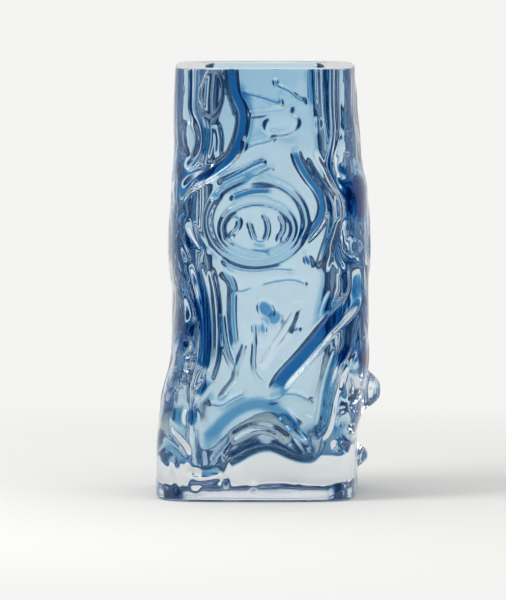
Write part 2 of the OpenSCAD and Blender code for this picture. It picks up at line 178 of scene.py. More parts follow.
table_finish = bpy.data.materials.new("pale_table")
table_finish.use_nodes = True
tree = table_finish.node_tree
tree.nodes.clear()
spot = node(tree, "ShaderNodeTexCoord").outputs["Object"]
length = node(tree, "ShaderNodeVectorMath", operation="LENGTH")
tree.links.new(spot, length.inputs[0])
far = ramp(tree, length.outputs["Value"], LIT_RADIUS, PLAIN_RADIUS)
matt = node(tree, "ShaderNodeBsdfDiffuse", values={"Color": MATT_GREY})
glow = node(tree, "ShaderNodeEmission")
tree.links.new(carded(tree, spot), glow.inputs["Color"])
blend = node(tree, "ShaderNodeMixShader")
tree.links.new(far, blend.inputs[0])
tree.links.new(matt.outputs[0], blend.inputs[1])
tree.links.new(glow.outputs[0], blend.inputs[2])
tree.links.new(blend.outputs[0], node(tree, "ShaderNodeOutputMaterial").inputs["Surface"])
table_mesh.materials.append(table_finish)

for name, place, size, power in (
    ("key_softbox", (-0.80, -0.36, 0.84), 0.56, 7.2),
    ("fill_softbox", (0.88, -0.72, 1.04), 0.72, 1.9),
):
    lamp_data = bpy.data.lights.new(name, "AREA")
    lamp_data.shape = "SQUARE"
    lamp_data.size = size
    lamp_data.energy = power
    lamp = bpy.data.objects.new(name, lamp_data)
    lamp.location = place
    lamp.rotation_euler = (LAMP_AIM - Vector(place)).to_track_quat("-Z", "Y").to_euler()
    bpy.context.collection.objects.link(lamp)

# Clear casing. Thick clear glass gathered over the coloured bubble and blown into a square mould
# with a gnarled bark-like inside, so every fold of the mould is a lens. The foot is solid clear
# glass, ground flat underneath, and the rim is sawn off, ground and polished.

# Sizes in metres
HEIGHT = 0.240
FOOT_WIDTH = 0.112
FOOT_DEPTH = 0.109
RIM_WIDTH = 0.102
RIM_DEPTH = 0.096
RIM_LEAN = 0.0016
FOOT_ROUND = 0.0022
RIM_ARRIS = 0.0006
RIM_WALL = 0.0170
BELLY_WALL = 0.0165
FOOT_WALL = 0.020
BASE_THICK = 0.0175
DOME_RISE = 0.026
FLOOR_TILT = 0.005
BUBBLE_ROUND = 0.022
COLOUR_RIM = 0.0016
COLOUR_BELLY = 0.0008
COLOUR_FLOOR = 0.0010
# What a rise of 1 in the tables comes to, for the skin, the coloured layer and the cavity
FOLD_RISE = 0.0040
RIB_RISE = 0.011
CAVITY_RISE = 0.0005
WAVE_RISE = 0.0007
# Corners: 2 is round, larger is squarer
FOOT_SQUARENESS = 4.6
RIM_SQUARENESS = 5.2
BUBBLE_SQUARENESS = 8.5
FLOOR_FLATNESS = 2.8
CORNER_HANG_SHARE = 0.7
# Height shares where the wall stops thinning, and where the colour thins and thickens again
FOOT_TOP = 0.4
COLOUR_THINS_FROM = 0.10
COLOUR_THINS_OVER = 0.13
COLOUR_THICKENS_FROM = 0.70
COLOUR_THICKENS_OVER = 0.28
# Shares of the coloured layer: left and right, most of the room that it fills, and least that stays
COLOUR_SIDE_SHARE = 0.13
COLOUR_FILL_SHARE = 0.80
COLOUR_KEEP_SHARE = 0.6
# Share of the clear glass that stays under a groove, and how the cavity follows a fold
GROOVE_KEEP_SHARE = 0.4
CAVITY_SPREAD = 1.6
FOLLOW_SHARE = 0.05
# The casing magnifies the bubble by this in the middle of a side, and by both at its edge
SEEN_MIDDLE = 1.02
SEEN_EDGE = 0.06
# How folds taper off at their ends, and where a side's folds fade in as the mould faces it
TAPER = 1.6
LONGEST_TAPER = 0.3
CORNER_CUT = 0.25
SIDE_START = 0.45
SIDE_FULL = 0.92
FAINTEST = 0.001
# Columns gather at the four corners and at the front, and rows toward the rim
CORNERS = 4
CORNER_CROWD_SHARE = 0.25
FRONT_CROWD_SHARE = 0.25
ROW_POWER = 0.88

# Swell of the mould: height, then left, right, front and back, as shares
SWELL_SHARES = np.array([
    [0.00, 1.09, 0.93, 1.00, 1.02],
    [0.13, 1.09, 0.93, 1.00, 1.03],
    [0.22, 1.05, 1.00, 0.97, 1.047],
    [0.33, 0.96, 1.06, 0.95, 1.05],
    [0.45, 0.95, 1.08, 0.98, 1.06],
    [0.58, 1.01, 1.10, 1.03, 1.04],
    [0.71, 1.01, 1.08, 1.02, 1.00],
    [0.80, 0.99, 1.00, 0.98, 0.97],
    [0.92, 1.01, 0.96, 1.00, 1.00],
    [1.00, 1.00, 0.96, 1.00, 1.00],
])


def ring(middle, reach, count=24):
    """A closed oval route."""
    turn = np.linspace(0, 2 * np.pi, count + 1)
    return np.column_stack([middle[0] + reach[0] * np.cos(turn), middle[1] + reach[1] * np.sin(turn)])


# Folds of each side: rises of the skin, the coloured layer and the cavity, half width, edge, route
FRONT_FOLD_SHARES = [
    # the bubble's left wall, dark from the rim down and round the oval lens
    ((-0.30, 0.95, -0.30), 0.060, 0.8, [
        (-0.68, 1.02), (-0.68, 0.94), (-0.69, 0.905), (-0.63, 0.88), (-0.60, 0.85), (-0.62, 0.81),
        (-0.68, 0.785), (-0.80, 0.765)]),
    # the wide sweep from the rim to the left edge
    ((-0.50, 1.00, -0.60), 0.080, 0.7, [
        (-0.32, 1.01), (-0.31, 0.965), (-0.28, 0.935), (-0.23, 0.915), (-0.20, 0.89), (-0.22, 0.855),
        (-0.26, 0.825), (-0.32, 0.795), (-0.43, 0.775), (-0.56, 0.755), (-0.70, 0.74), (-0.82, 0.72),
        (-0.89, 0.68)]),
    ((0.00, 0.50, 0.00), 0.090, 0.8, [
        (-0.30, 0.97), (-0.20, 0.93), (-0.15, 0.885), (-0.22, 0.83), (-0.34, 0.79)]),
    ((0.30, 0.00, 0.10), 0.045, 0.9, [(-0.47, 0.875), (-0.43, 0.84), (-0.45, 0.80)]),
    ((-0.30, 0.45, -0.25), 0.045, 0.9, [(-0.54, 0.875), (-0.53, 0.835), (-0.58, 0.79)]),
    # ribbons between the sweep and the eye
    ((-0.40, 0.80, -0.45), 0.050, 0.8, [
        (-0.46, 0.735), (-0.32, 0.75), (-0.20, 0.765), (-0.08, 0.78), (0.05, 0.79)]),
    ((-0.32, 0.40, 0.00), 0.035, 1.0, [
        (-0.52, 0.70), (-0.35, 0.72), (-0.18, 0.74), (0.00, 0.76), (0.12, 0.775)]),
    ((-0.36, 0.75, -0.30), 0.060, 0.7, [(-0.36, 0.695), (-0.22, 0.71), (-0.08, 0.718), (0.12, 0.717)]),
    ((-0.30, 0.40, 0.00), 0.038, 1.0, [(-0.20, 0.81), (-0.10, 0.825), (0.04, 0.83), (0.14, 0.845)]),
    # thin lines and a ridge under the rim
    ((0.42, 0.00, 0.10), 0.055, 0.8, [(-0.19, 0.895), (0.05, 0.900), (0.33, 0.912)]),
    ((-0.34, 0.60, 0.00), 0.042, 1.0, [
        (-0.24, 0.948), (-0.16, 0.942), (0.04, 0.930), (0.19, 0.916), (0.13, 0.940)]),
    ((-0.34, 0.60, 0.00), 0.042, 1.0, [
        (0.12, 0.985), (0.11, 0.962), (0.26, 0.949), (0.33, 0.932), (0.45, 0.920)]),
    ((-0.20, 0.45, -0.30), 0.060, 0.7, [(0.47, 1.01), (0.48, 0.95), (0.49, 0.905)]),
    # the bubble's right wall, dark from the rim to the wide patch
    ((-0.32, 1.00, -0.30), 0.050, 0.9, [
        (0.69, 1.02), (0.69, 0.94), (0.70, 0.89), (0.71, 0.86), (0.70, 0.83), (0.66, 0.80), (0.64, 0.775),
        (0.67, 0.75), (0.73, 0.725), (0.80, 0.71)]),
    ((-0.15, 1.00, -0.30), 0.095, 0.7, [(0.86, 0.715), (0.87, 0.68), (0.85, 0.65)]),
    ((-0.28, 0.35, -0.20), 0.040, 0.9, [
        (0.79, 0.63), (0.76, 0.60), (0.78, 0.575), (0.88, 0.562), (0.98, 0.555)]),
    # the blue ribbon and the pale ribbon that curl round the eye
    ((-0.42, 0.80, -0.45), 0.065, 0.7, [
        (0.30, 0.82), (0.34, 0.785), (0.43, 0.750), (0.54, 0.720), (0.60, 0.685), (0.56, 0.650),
        (0.46, 0.620), (0.35, 0.597)]),
    ((0.44, -0.05, 0.20), 0.080, 0.7, [
        (0.45, 0.81), (0.56, 0.765), (0.68, 0.720), (0.73, 0.670), (0.69, 0.615), (0.61, 0.565),
        (0.57, 0.53)]),
    ((-0.34, 0.60, -0.30), 0.050, 0.8, [
        (0.78, 0.66), (0.74, 0.62), (0.69, 0.585), (0.73, 0.555), (0.80, 0.53)]),
    # the eye
    ((0.42, 0.15, 0.10), 0.055, 0.9, ring((-0.07, 0.648), (0.49, 0.098))),
    ((0.38, 0.15, 0.08), 0.050, 0.9, ring((-0.06, 0.632), (0.36, 0.062))),
    ((-0.30, 0.55, -0.10), 0.042, 1.0, [
        (-0.36, 0.648), (-0.29, 0.662), (-0.23, 0.650), (-0.26, 0.632), (-0.32, 0.620), (-0.30, 0.606)]),
    ((-0.30, 0.50, -0.10), 0.038, 1.0, [
        (-0.16, 0.655), (-0.13, 0.635), (-0.10, 0.610), (-0.04, 0.598), (0.02, 0.606), (0.05, 0.630),
        (0.03, 0.655), (-0.03, 0.670)]),
    ((-0.30, 0.45, -0.10), 0.036, 1.0, [
        (0.13, 0.668), (0.19, 0.650), (0.20, 0.628), (0.14, 0.612), (0.16, 0.595)]),
    ((-0.28, 0.60, 0.00), 0.042, 1.0, [(-0.16, 0.585), (-0.02, 0.577), (0.10, 0.572)]),
    # lines under the eye
    ((-0.30, 0.50, 0.00), 0.038, 1.0, [
        (-0.42, 0.565), (-0.32, 0.54), (-0.10, 0.532), (0.10, 0.54), (0.33, 0.535)]),
    ((-0.30, 0.45, 0.00), 0.060, 0.9, [
        (-0.44, 0.535), (-0.30, 0.51), (-0.31, 0.47), (-0.31, 0.42), (-0.28, 0.35)]),
    ((-0.30, 0.50, 0.00), 0.038, 1.0, [(-0.05, 0.50), (0.12, 0.51), (0.30, 0.515), (0.45, 0.50)]),
    ((-0.30, 0.50, 0.00), 0.040, 1.0, [(-0.33, 0.49), (-0.20, 0.485), (-0.10, 0.50)]),
    # the long dark lens on the left, and its pale neighbours
    ((-0.25, 1.00, -0.30), 0.080, 0.8, [
        (-0.71, 0.56), (-0.64, 0.52), (-0.58, 0.47), (-0.55, 0.42), (-0.54, 0.37), (-0.56, 0.32),
        (-0.59, 0.29)]),
    ((0.30, 0.00, 0.05), 0.050, 0.9, [
        (-0.53, 0.54), (-0.47, 0.48), (-0.45, 0.40), (-0.46, 0.33), (-0.54, 0.28)]),
    ((-0.25, 0.45, -0.25), 0.060, 0.7, [(-0.76, 0.65), (-0.69, 0.62), (-0.60, 0.59), (-0.53, 0.572)]),
    ((-0.28, 0.40, -0.20), 0.045, 0.9, [(-0.88, 0.66), (-0.87, 0.62), (-0.82, 0.59), (-0.74, 0.55)]),
    ((-0.30, 0.45, -0.20), 0.055, 0.9, [(-0.86, 0.52), (-0.80, 0.48), (-0.74, 0.45), (-0.71, 0.41)]),
    # the vee under the pale lens
    ((-0.32, 0.45, 0.00), 0.042, 0.9, [(-0.42, 0.44), (-0.39, 0.38), (-0.35, 0.335), (-0.28, 0.305)]),
    ((-0.32, 0.20, 0.00), 0.036, 0.9, [
        (-0.18, 0.37), (-0.22, 0.34), (-0.28, 0.305), (-0.28, 0.285), (-0.36, 0.262), (-0.44, 0.235)]),
    ((0.24, -0.60, 0.05), 0.055, 0.9, [(0.38, 0.465), (0.24, 0.41), (0.10, 0.36), (-0.04, 0.305)]),
    ((-0.24, 0.30, 0.00), 0.034, 1.0, [
        (-0.10, 0.42), (-0.09, 0.36), (-0.11, 0.31), (-0.05, 0.285), (0.02, 0.275)]),
    # the wide diagonal band, and the one that runs down beside it
    ((-0.58, 1.00, -0.75), 0.105, 0.55, [
        (0.90, 0.56), (0.94, 0.51), (0.92, 0.475), (0.84, 0.452), (0.74, 0.430), (0.62, 0.400), (0.50, 0.365),
        (0.38, 0.332), (0.27, 0.305), (0.18, 0.282), (0.13, 0.258), (0.12, 0.24)]),
    ((-0.20, 0.60, -0.35), 0.060, 0.6, [(0.72, 0.49), (0.65, 0.465), (0.59, 0.42)]),
    ((-0.20, 0.90, -0.30), 0.050, 0.9, [
        (0.97, 0.44), (0.93, 0.40), (0.92, 0.36), (0.86, 0.33), (0.79, 0.30), (0.72, 0.265), (0.68, 0.225),
        (0.66, 0.185), (0.61, 0.155), (0.51, 0.145)]),
    ((-0.18, 0.45, -0.25), 0.060, 0.7, [
        (0.76, 0.36), (0.68, 0.31), (0.62, 0.26), (0.59, 0.21), (0.56, 0.17)]),
    ((-0.30, 0.50, 0.00), 0.038, 1.0, [
        (0.02, 0.235), (0.13, 0.232), (0.22, 0.248), (0.36, 0.245), (0.50, 0.225)]),
    ((-0.30, 0.50, 0.00), 0.040, 1.0, [(-0.16, 0.25), (-0.30, 0.238), (-0.40, 0.222), (-0.50, 0.215)]),
    # low folds over the bubble's floor and down the clear foot
    ((0.00, 0.45, 0.00), 0.080, 0.7, [
        (-0.64, 0.12), (-0.50, 0.16), (-0.30, 0.205), (-0.08, 0.225), (0.12, 0.212), (0.26, 0.18),
        (0.42, 0.15)]),
    ((0.36, 0.00, 0.00), 0.050, 0.9, [
        (-0.34, 0.145), (-0.18, 0.172), (0.00, 0.176), (0.16, 0.162), (0.26, 0.14)]),
    ((0.34, 0.00, 0.00), 0.050, 0.9, [
        (-0.96, 0.25), (-0.97, 0.20), (-0.93, 0.16), (-0.82, 0.135), (-0.72, 0.105)]),
    ((-0.20, 0.60, -0.40), 0.070, 0.7, [(-0.52, 0.285), (-0.60, 0.26), (-0.68, 0.235)]),
    ((-0.30, 0.50, -0.25), 0.060, 0.8, [(0.18, 0.215), (0.28, 0.19), (0.40, 0.16), (0.52, 0.13)]),
    ((-0.40, 0.00, 0.00), 0.045, 0.9, [(-0.37, 0.11), (-0.375, 0.08), (-0.37, 0.035)]),
    ((-0.24, 0.00, 0.00), 0.045, 0.9, [(-0.90, 0.10), (-0.87, 0.06), (-0.85, 0.01)]),
    ((-0.22, 0.00, 0.00), 0.036, 1.0, [(-0.78, 0.085), (-0.60, 0.08), (-0.42, 0.086)]),
    ((-0.22, 0.00, 0.00), 0.036, 1.0, [(-0.76, 0.055), (-0.58, 0.05), (-0.41, 0.06)]),
    ((0.12, 0.00, 0.00), 0.060, 0.8, [(-0.68, 0.09), (-0.66, 0.05), (-0.70, 0.02)]),
    ((-0.24, 0.00, 0.00), 0.040, 0.9, [(0.86, 0.13), (0.84, 0.08), (0.86, 0.03)]),
    ((0.20, 0.00, 0.00), 0.050, 0.8, [(0.66, 0.01), (0.72, 0.02), (0.82, 0.03)]),
]
RIGHT_FOLD_SHARES = [
    ((-0.45, 0.80, -0.55), 0.110, 0.9, [
        (-0.44, 1.01), (-0.38, 0.92), (-0.44, 0.86), (-0.50, 0.80), (-0.40, 0.74), (-0.26, 0.70)]),
    ((-0.50, 0.85, -0.60), 0.110, 0.9, [
        (0.34, 1.01), (0.30, 0.94), (0.38, 0.88), (0.52, 0.83), (0.56, 0.78), (0.44, 0.72)]),
    ((0.40, 0.00, 0.10), 0.120, 0.9, [(0.02, 0.97), (0.00, 0.88), (0.12, 0.80), (0.20, 0.75)]),
    ((0.35, 0.00, 0.12), 0.075, 0.9, ring((0.00, 0.60), (0.34, 0.080))),
    ((-0.30, 0.40, -0.15), 0.060, 1.0, [(-0.06, 0.615), (0.02, 0.595), (0.06, 0.57)]),
    ((-0.45, 0.70, -0.50), 0.100, 0.9, [
        (-0.50, 0.62), (-0.44, 0.56), (-0.42, 0.49), (-0.24, 0.46), (-0.04, 0.44)]),
    ((-0.50, 0.90, -0.60), 0.110, 0.9, [
        (0.56, 0.64), (0.46, 0.56), (0.52, 0.48), (0.40, 0.42), (0.20, 0.37), (0.02, 0.33), (-0.14, 0.28)]),
    ((0.35, 0.00, 0.10), 0.100, 0.9, [(-0.44, 0.38), (-0.36, 0.31), (-0.42, 0.24), (-0.34, 0.17)]),
    ((0.30, 0.00, 0.00), 0.080, 0.9, [(-0.50, 0.10), (-0.34, 0.12), (-0.12, 0.09)]),
    ((-0.25, 0.00, 0.00), 0.070, 0.9, [(-0.20, 0.01), (-0.14, 0.06), (0.04, 0.09)]),
]
BACK_FOLD_SHARES = [
    ((-0.40, 0.80, -0.50), 0.100, 0.9, [
        (-0.62, 1.01), (-0.60, 0.92), (-0.66, 0.86), (-0.58, 0.80), (-0.66, 0.75), (-0.80, 0.71)]),
    ((-0.40, 0.80, -0.50), 0.095, 0.9, [
        (0.82, 1.01), (0.80, 0.93), (0.76, 0.87), (0.80, 0.82), (0.88, 0.77)]),
    ((-0.35, 0.50, -0.30), 0.090, 0.9, [
        (-0.34, 0.80), (-0.14, 0.84), (0.10, 0.83), (0.32, 0.79), (0.44, 0.73)]),
    ((0.30, 0.00, 0.10), 0.100, 0.9, [(-0.28, 0.72), (-0.06, 0.75), (0.18, 0.73), (0.30, 0.68)]),
    ((-0.40, 0.80, -0.50), 0.110, 0.9, [
        (-0.78, 0.62), (-0.68, 0.55), (-0.72, 0.48), (-0.60, 0.41), (-0.62, 0.34)]),
    ((0.30, 0.00, 0.10), 0.080, 0.9, ring((0.50, 0.56), (0.26, 0.070))),
    ((-0.40, 0.70, -0.45), 0.100, 0.9, [
        (0.82, 0.46), (0.70, 0.41), (0.62, 0.35), (0.46, 0.31), (0.28, 0.29)]),
    ((0.30, 0.00, 0.10), 0.090, 0.9, [(-0.38, 0.30), (-0.26, 0.26), (-0.32, 0.20)]),
]
LEFT_FOLD_SHARES = [
    ((-0.45, 0.80, -0.55), 0.110, 0.9, [
        (-0.46, 1.01), (-0.48, 0.93), (-0.38, 0.87), (-0.46, 0.81), (-0.58, 0.76)]),
    ((0.35, 0.00, 0.10), 0.110, 0.9, [(-0.10, 0.98), (-0.04, 0.90), (-0.12, 0.83), (0.02, 0.77)]),
    ((-0.45, 0.80, -0.55), 0.105, 0.9, [
        (0.32, 1.01), (0.28, 0.93), (0.40, 0.87), (0.30, 0.80), (0.12, 0.74), (-0.10, 0.71), (-0.34, 0.67)]),
    ((0.35, 0.00, 0.12), 0.080, 0.9, ring((0.14, 0.585), (0.32, 0.078))),
    ((-0.45, 0.70, -0.50), 0.100, 0.9, [
        (-0.48, 0.60), (-0.36, 0.55), (-0.32, 0.48), (-0.42, 0.42), (-0.38, 0.35)]),
    ((-0.50, 0.90, -0.60), 0.110, 0.9, [
        (0.52, 0.50), (0.42, 0.45), (0.28, 0.42), (0.14, 0.37), (0.02, 0.31), (0.06, 0.25)]),
    ((0.35, 0.00, 0.10), 0.100, 0.9, [(0.46, 0.35), (0.38, 0.29), (0.42, 0.22), (0.32, 0.16)]),
    ((0.30, 0.00, 0.00), 0.080, 0.9, [(-0.40, 0.11), (-0.16, 0.09), (0.10, 0.11)]),
    ((-0.25, 0.00, 0.00), 0.070, 0.9, [(0.40, 0.01), (0.36, 0.06), (0.20, 0.09)]),
]
# Lenses of each side: rises as above, half width, half height, tilt in degrees, edge, middle
FRONT_LENS_SHARES = [
    ((0.26, -0.80, 0.10), 0.125, 0.27, -4, 0.25, (-0.51, 0.945)),
    ((0.40, -0.40, 0.20), 0.100, 0.20, 4, 0.50, (-0.72, 0.840)),
    ((0.20, 0.00, 0.15), 0.060, 0.09, 20, 0.8, (-0.34, 0.905)),
    ((0.22, 0.00, 0.10), 0.045, 0.08, 15, 0.9, (-0.20, 0.832)),
    ((0.40, -0.04, 0.20), 0.215, 0.14, 8, 0.40, (0.18, 0.874)),
    ((-0.20, 0.00, -0.10), 0.090, 0.06, 20, 0.9, (0.10, 0.865)),
    ((-0.20, 0.40, -0.30), 0.045, 0.09, 0, 0.8, (0.54, 0.872)),
    ((0.25, -0.10, 0.15), 0.120, 0.06, 0, 0.8, (0.83, 0.846)),
    ((0.40, -0.30, 0.25), 0.130, 0.15, 12, 0.50, (0.80, 0.775)),
    ((0.35, -0.20, 0.25), 0.110, 0.09, 0, 0.60, (0.89, 0.590)),
    ((-0.36, 0.85, -0.50), 0.062, 0.10, 28, 0.8, (0.44, 0.558)),
    ((-0.25, 0.35, -0.15), 0.070, 0.05, 20, 0.9, (-0.35, 0.612)),
    ((0.24, 0.00, 0.20), 0.300, 0.30, 0, 0.25, (0.06, 0.425)),
    ((-0.34, 0.55, -0.40), 0.100, 0.13, 35, 0.50, (0.02, 0.445)),
    ((-0.26, 0.45, -0.20), 0.095, 0.11, -30, 0.50, (0.11, 0.425)),
    ((-0.24, 0.45, -0.20), 0.060, 0.09, 10, 0.70, (-0.01, 0.400)),
    ((-0.30, 0.70, -0.35), 0.070, 0.05, 15, 0.8, (0.32, 0.398)),
    ((0.22, -0.10, 0.10), 0.050, 0.09, 0, 0.8, (-0.80, 0.425)),
    ((-0.32, 0.75, -0.45), 0.090, 0.10, 0, 0.6, (-0.79, 0.362)),
    ((-0.20, 0.80, -0.50), 0.095, 0.14, 0, 0.50, (-0.72, 0.193)),
    ((-0.18, 0.25, -0.10), 0.090, 0.05, 8, 0.8, (-0.50, 0.222)),
    ((-0.34, 0.75, -0.45), 0.080, 0.10, 0, 0.6, (0.90, 0.325)),
    ((0.28, -0.10, 0.10), 0.080, 0.14, 10, 0.6, (0.83, 0.265)),
    ((-0.20, 0.70, -0.40), 0.090, 0.09, 0, 0.6, (0.80, 0.190)),
    ((0.25, 0.00, 0.10), 0.085, 0.06, -12, 0.7, (0.74, 0.130)),
    ((-0.24, 0.00, 0.00), 0.040, 0.045, 0, 0.9, (-0.10, 0.036)),
]
RIGHT_LENS_SHARES = [
    ((0.40, -0.30, 0.20), 0.150, 0.22, 10, 0.6, (-0.22, 0.80)),
    ((0.40, -0.30, 0.20), 0.130, 0.20, 0, 0.6, (0.62, 0.93)),
    ((-0.30, 0.60, -0.45), 0.120, 0.16, 0, 0.7, (0.20, 0.49)),
    ((-0.25, 0.70, -0.45), 0.120, 0.14, 0, 0.7, (0.12, 0.24)),
    ((0.00, 2.00, 0.00), 0.240, 0.24, 12, 0.9, (-0.26, 0.685)),
    ((0.00, 1.80, 0.00), 0.200, 0.16, -10, 0.9, (-0.28, 0.325)),
]
# The round clear lobes low at the back of the right side
LOBE_LENS_SHARES = [
    ((2.69, 0.00, 0.00), 0.32, 0.28, 0, 0.85, (0.54, 0.228)),
    ((1.90, 0.00, 0.00), 0.28, 0.17, 0, 0.85, (0.58, 0.076)),
]
BACK_LENS_SHARES = [
    ((0.40, -0.30, 0.20), 0.140, 0.22, 8, 0.6, (-0.40, 0.92)),
    ((0.35, -0.20, 0.20), 0.130, 0.20, 0, 0.6, (0.82, 0.66)),
    ((-0.30, 0.60, -0.40), 0.130, 0.15, 0, 0.7, (0.50, 0.56)),
    ((0.35, -0.20, 0.20), 0.120, 0.20, -10, 0.6, (-0.80, 0.26)),
    ((-0.25, 0.70, -0.40), 0.110, 0.13, 0, 0.7, (0.62, 0.20)),
]
LEFT_LENS_SHARES = [
    ((0.35, -0.30, 0.20), 0.130, 0.20, 0, 0.6, (-0.66, 0.86)),
    ((-0.30, 0.60, -0.40), 0.110, 0.13, 0, 0.7, (0.16, 0.58)),
    ((0.35, -0.20, 0.20), 0.130, 0.18, 12, 0.6, (-0.12, 0.45)),
    ((-0.25, 0.70, -0.40), 0.110, 0.14, 0, 0.7, (0.16, 0.18)),
]
# Where each side faces, the strengths of its skin, colour and cavity, its folds and its lenses
SIDES = [
    (0, (1.0, 1.0, 1.0), [], LOBE_LENS_SHARES),
    (-90, (1.0, 1.0, 1.0), FRONT_FOLD_SHARES, FRONT_LENS_SHARES),
    (0, (0.48, 0.24, 0.40), RIGHT_FOLD_SHARES, RIGHT_LENS_SHARES),
    (90, (0.25, 0.25, 0.25), BACK_FOLD_SHARES, BACK_LENS_SHARES),
    (180, (0.36, 0.14, 0.30), LEFT_FOLD_SHARES, LEFT_LENS_SHARES),
]
# Slow waves of the skin: how often round, turn from foot to rim, start in degrees, share of the rise
WAVE_SHARES = [(3, 500, 20, 0.5), (5, -420, 110, 0.4), (8, 760, 60, 0.3)]


def mix(a, b, t):
    """Between a and b, at share t of the way."""
    return a + (b - a) * t


def ease(t):
    """A share that starts and stops softly."""
    s = np.clip(t, 0.0, 1.0)
    return s * s * (3.0 - 2.0 * s)


def bump(d, edge):
    """1 in the middle, falling to 0 at d = 1 over the outer share that edge gives."""
    t = np.clip((d - 1.0 + edge) / edge, 0.0, 1.0)
    return (1.0 - t * t) ** 2


def swell(v, column):
    """The mould's swell at height shares v, eased between the rows of its table."""
    row = np.clip(np.searchsorted(SWELL_SHARES[:, 0], v, side="right") - 1, 0, len(SWELL_SHARES) - 2)
    low, high = SWELL_SHARES[row], SWELL_SHARES[row + 1]
    t = ease((v - low[:, 0]) / (high[:, 0] - low[:, 0]))
    return mix(low[:, column], high[:, column], t)


def mould(angle, v, wall):
    """Plain wall of the mould, or of the bubble that lies wall inside it: points, normals, half sizes."""
    c, s = np.cos(angle), np.sin(angle)
    half_x = mix(FOOT_WIDTH, RIM_WIDTH, v) / 2 * np.where(c < 0, swell(v, 1), swell(v, 2)) - wall
    half_y = mix(FOOT_DEPTH, RIM_DEPTH, v) / 2 * np.where(s < 0, swell(v, 3), swell(v, 4)) - wall
    square = np.where(wall > 0, BUBBLE_SQUARENESS, mix(FOOT_SQUARENESS, RIM_SQUARENESS, v))
    reach = (np.abs(c) ** square + np.abs(s) ** square) ** (-1 / square)
    slope_x = np.sign(c) * np.abs(c * reach) ** (square - 1) / half_x
    slope_y = np.sign(s) * np.abs(s * reach) ** (square - 1) / half_y
    size = np.hypot(slope_x, slope_y)
    points = np.stack([half_x * reach * c + RIM_LEAN * v, half_y * reach * s], axis=1)
    return points, np.stack([slope_x / size, slope_y / size], axis=1), np.stack([half_x, half_y], axis=1)


def smoothed(route):
    """The route with its corners cut twice."""
    points = np.array(route, dtype=float)
    for _ in range(2):
        cut = [points[0]]
        for a, b in zip(points[:-1], points[1:]):
            cut += [mix(a, b, CORNER_CUT), mix(a, b, 1 - CORNER_CUT)]
        points = np.array(cut + [points[-1]])
    return points


def to_route(across, up, route):
    """Distance of each point from a route, how far along its nearest place is, and the whole length."""
    least = np.full(len(across), np.inf)
    along = np.zeros(len(across))
    walked = 0.0
    for a, b in zip(route[:-1], route[1:]):
        run = b - a
        step = np.hypot(*run)
        t = np.clip(((across - a[0]) * run[0] + (up - a[1]) * run[1]) / (run @ run), 0, 1)
        gap = np.hypot(across - a[0] - t * run[0], up - a[1] - t * run[1])
        nearer = gap < least
        along[nearer] = walked + t[nearer] * step
        least = np.minimum(least, gap)
        walked += step
    return least, along, walked


def tapered(along, length, half, route):
    """1 along a fold, easing to 0 at the ends that stop on the skin."""
    share = np.ones(len(along))
    if np.hypot(*(route[0] - route[-1])) < half:
        return share
    reach = min(TAPER * half, LONGEST_TAPER * length)
    if route[0][1] < HEIGHT:
        share *= ease(along / reach)
    if route[-1][1] < HEIGHT:
        share *= ease((length - along) / reach)
    return share


def raised(d, edge, rises):
    """Rises of the skin, the coloured layer and the cavity at d from a fold's middle."""
    near, wide = bump(d, edge), bump(d / CAVITY_SPREAD, 1.0)
    skin = FOLD_RISE * rises[0] * near
    colour = RIB_RISE * rises[1] * near
    cavity = CAVITY_RISE * rises[2] * wide
    return np.column_stack([skin, colour, cavity])


def relief(points, normals, v):
    """Rises of the skin, the coloured layer and the cavity wall at points of the mould."""
    rise = np.zeros((len(v), 3))
    unit = FOOT_WIDTH / 2
    scale = np.array([unit, HEIGHT])
    for facing, strengths, folds, lenses in SIDES:
        turn = np.radians(facing)
        toward = normals @ np.array([np.cos(turn), np.sin(turn)])
        weight = ease((toward - SIDE_START) / (SIDE_FULL - SIDE_START))
        pick = np.flatnonzero(weight > FAINTEST)
        across = points[pick] @ np.array([-np.sin(turn), np.cos(turn)])
        up = v[pick] * HEIGHT
        side = np.zeros((len(pick), 3))
        for rises, half, edge, route in folds:
            near = half * unit
            wide = near * CAVITY_SPREAD
            route = smoothed(route) * scale
            low, high = route.min(axis=0) - wide, route.max(axis=0) + wide
            beside = (across > low[0]) & (across < high[0])
            close = np.flatnonzero(beside & (up > low[1]) & (up < high[1]))
            gap, along, length = to_route(across[close], up[close], route)
            share = tapered(along, length, near, route)
            side[close] += raised(gap / near, edge, rises) * share[:, None]
        for rises, half_x, half_y, tilt, edge, middle in lenses:
            x, y = across - middle[0] * unit, up - middle[1] * HEIGHT
            c, s = np.cos(np.radians(tilt)), np.sin(np.radians(tilt))
            d = np.hypot((x * c + y * s) / half_x, (y * c - x * s) / half_y) / unit
            side += raised(d, edge, rises)
        rise[pick] += weight[pick, None] * side * np.array(strengths)
    return rise


def wave(angle, v):
    """The slow waves of the skin at angles and height shares."""
    a = np.degrees(angle)
    swings = []
    for often, turn, start, share in WAVE_SHARES:
        swings.append(share * np.sin(np.radians(often * a + turn * v + start)))
    return WAVE_RISE * sum(swings)


def wall_at(v):
    """Thickness of the whole wall, clear and blue, at height shares v."""
    low = mix(FOOT_WALL, BELLY_WALL, ease(v / FOOT_TOP))
    high = mix(BELLY_WALL, RIM_WALL, ease((v - FOOT_TOP) / (1 - FOOT_TOP)))
    return np.where(v < FOOT_TOP, low, high)


def colour_at(v):
    """Thickness of the plain coloured glass at height shares v."""
    low = mix(COLOUR_FLOOR, COLOUR_BELLY, ease((v - COLOUR_THINS_FROM) / COLOUR_THINS_OVER))
    high = mix(COLOUR_BELLY, COLOUR_RIM, ease((v - COLOUR_THICKENS_FROM) / COLOUR_THICKENS_OVER))
    return np.where(v < 0.5, low, high)


